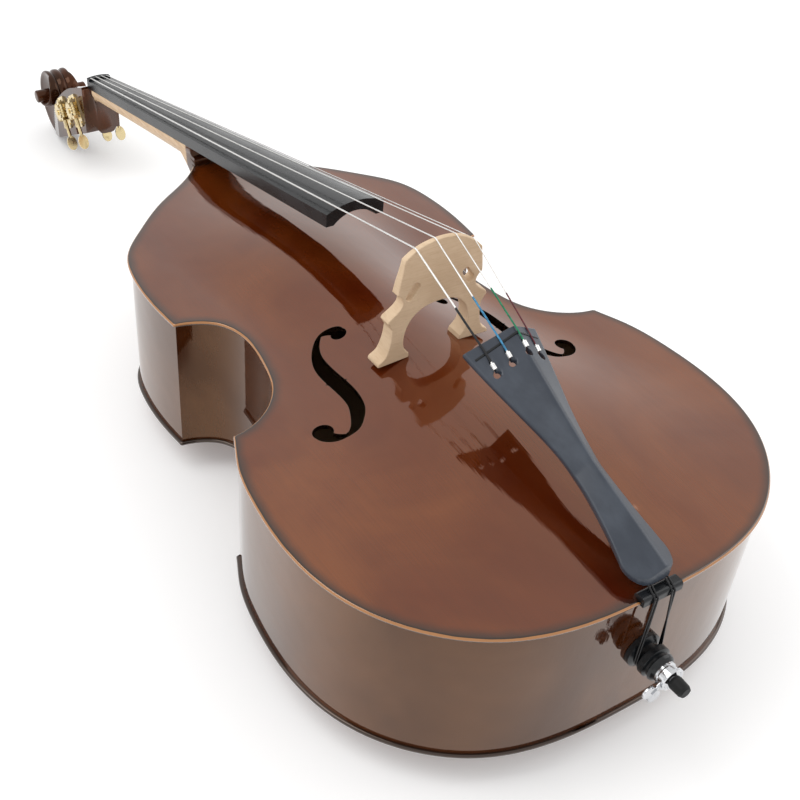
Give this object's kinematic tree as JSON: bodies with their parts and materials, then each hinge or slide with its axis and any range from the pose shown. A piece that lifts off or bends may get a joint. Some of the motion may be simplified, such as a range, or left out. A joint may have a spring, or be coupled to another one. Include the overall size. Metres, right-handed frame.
{
  "type": "double bass",
  "caption": "Large bowed string instrument with arched belly and back, f-holes, bridge, fingerboard, geared tuners, tailpiece and sliding endpin.",
  "frame": {"origin": "lowest point of the arched back's outside on the centre line, below the bridge", "axes": "+Y from the tailpiece towards the scroll, +Z out of the belly, +X towards the highest string"},
  "size_m": [0.6726, 1.9003, 0.4807],
  "materials": {
    "stained_spruce": "high gloss varnish",
    "stained_ribs": "high gloss varnish",
    "neck_maple": "satin oil, stained at heel and head",
    "bare_wood": "unfinished",
    "ebonised": "satin black",
    "bridge_maple": "unvarnished",
    "tuner_brass": "polished, pale",
    "string_steel": "wound steel",
    "chrome": "polished",
    "tail_black": "satin black",
    "rubber": "matte",
    "tail_cable": "black",
    "rod_steel": "polished"
  },
  "bodies": {
    "body": {"belly": "stained_spruce", "back": "stained_ribs", "upper_rib_bass_side": "stained_ribs", "upper_rib_treble_side": "stained_ribs", "middle_rib_bass_side": "stained_ribs", "middle_rib_treble_side": "stained_ribs", "lower_rib_bass_side": "stained_ribs", "lower_rib_treble_side": "stained_ribs", "neck_block": "bare_wood", "end_block": "bare_wood", "upper_corner_block_bass_side": "bare_wood", "upper_corner_block_treble_side": "bare_wood", "lower_corner_block_bass_side": "bare_wood", "lower_corner_block_treble_side": "bare_wood", "belly_linings": "bare_wood", "back_linings": "bare_wood", "bass_bar": "bare_wood", "sound_post": "bare_wood", "neck": "neck_maple", "fingerboard": "ebonised", "nut": "ebonised", "bridge": "bridge_maple", "string_e": "string_steel", "string_a": "string_steel", "string_d": "string_steel", "string_g": "string_steel", "tailpiece": "tail_black", "tailpiece_fret": "ebonised", "tail_wire": "tail_cable", "saddle": "ebonised", "endpin_plug": "ebonised", "endpin_collar": "chrome", "tuner_plate_e": "tuner_brass", "tuner_screws_e": "tuner_brass", "tuner_plate_g": "tuner_brass", "tuner_screws_g": "tuner_brass", "tuner_plate_a": "tuner_brass", "tuner_screws_a": "tuner_brass", "tuner_plate_d": "tuner_brass", "tuner_screws_d": "tuner_brass"},
    "roller_e": {"tuner_gear_e": "tuner_brass", "string_roller_e": "tuner_brass"},
    "key_e": {"tuner_key_e": "tuner_brass"},
    "roller_g": {"tuner_gear_g": "tuner_brass", "string_roller_g": "tuner_brass"},
    "key_g": {"tuner_key_g": "tuner_brass"},
    "roller_a": {"tuner_gear_a": "tuner_brass", "string_roller_a": "tuner_brass"},
    "key_a": {"tuner_key_a": "tuner_brass"},
    "roller_d": {"tuner_gear_d": "tuner_brass", "string_roller_d": "tuner_brass"},
    "key_d": {"tuner_key_d": "tuner_brass"},
    "endpin": {"endpin_rod": "rod_steel", "endpin_tip": "rubber"},
    "thumbscrew": {"endpin_thumbscrew": "chrome"}
  },
  "joints": [
    {"name": "key_e_turn", "type": "hinge", "parent": "body", "child": "key_e", "pos_m": [-0.0435, 0.88239, 0.14544], "axis": [0, -0.5446, -0.8387], "continuous": true},
    {"name": "roller_e_turn", "type": "hinge", "parent": "body", "child": "roller_e", "pos_m": [-0.0435, 0.9, 0.134], "axis": [1, 0, 0], "continuous": true},
    {"name": "key_g_turn", "type": "hinge", "parent": "body", "child": "key_g", "pos_m": [0.0435, 0.90939, 0.13144], "axis": [0, -0.5446, -0.8387], "continuous": true},
    {"name": "roller_g_turn", "type": "hinge", "parent": "body", "child": "roller_g", "pos_m": [0.0435, 0.927, 0.12], "axis": [1, 0, 0], "continuous": true},
    {"name": "key_a_turn", "type": "hinge", "parent": "body", "child": "key_a", "pos_m": [-0.0435, 0.94439, 0.11344], "axis": [0, -0.5446, -0.8387], "continuous": true},
    {"name": "roller_a_turn", "type": "hinge", "parent": "body", "child": "roller_a", "pos_m": [-0.0435, 0.962, 0.102], "axis": [1, 0, 0], "continuous": true},
    {"name": "key_d_turn", "type": "hinge", "parent": "body", "child": "key_d", "pos_m": [0.0435, 0.97939, 0.09544], "axis": [0, -0.5446, -0.8387], "continuous": true},
    {"name": "roller_d_turn", "type": "hinge", "parent": "body", "child": "roller_d", "pos_m": [0.0435, 0.997, 0.084], "axis": [1, 0, 0], "continuous": true},
    {"name": "endpin_slide", "type": "slide", "parent": "body", "child": "endpin", "axis": [0, -1, 0], "range_m": [0, 0.22]},
    {"name": "thumbscrew_turn", "type": "hinge", "parent": "body", "child": "thumbscrew", "pos_m": [0, -0.746, 0.17], "axis": [-0.7549, 0, -0.6559], "range_deg": [-180, 45]}
  ],
  "couplings": [
    {"joint": "roller_e_turn", "follows": "key_e_turn", "ratio": -0.05},
    {"joint": "roller_g_turn", "follows": "key_g_turn", "ratio": -0.05},
    {"joint": "roller_a_turn", "follows": "key_a_turn", "ratio": -0.05},
    {"joint": "roller_d_turn", "follows": "key_d_turn", "ratio": -0.05}
  ]
}
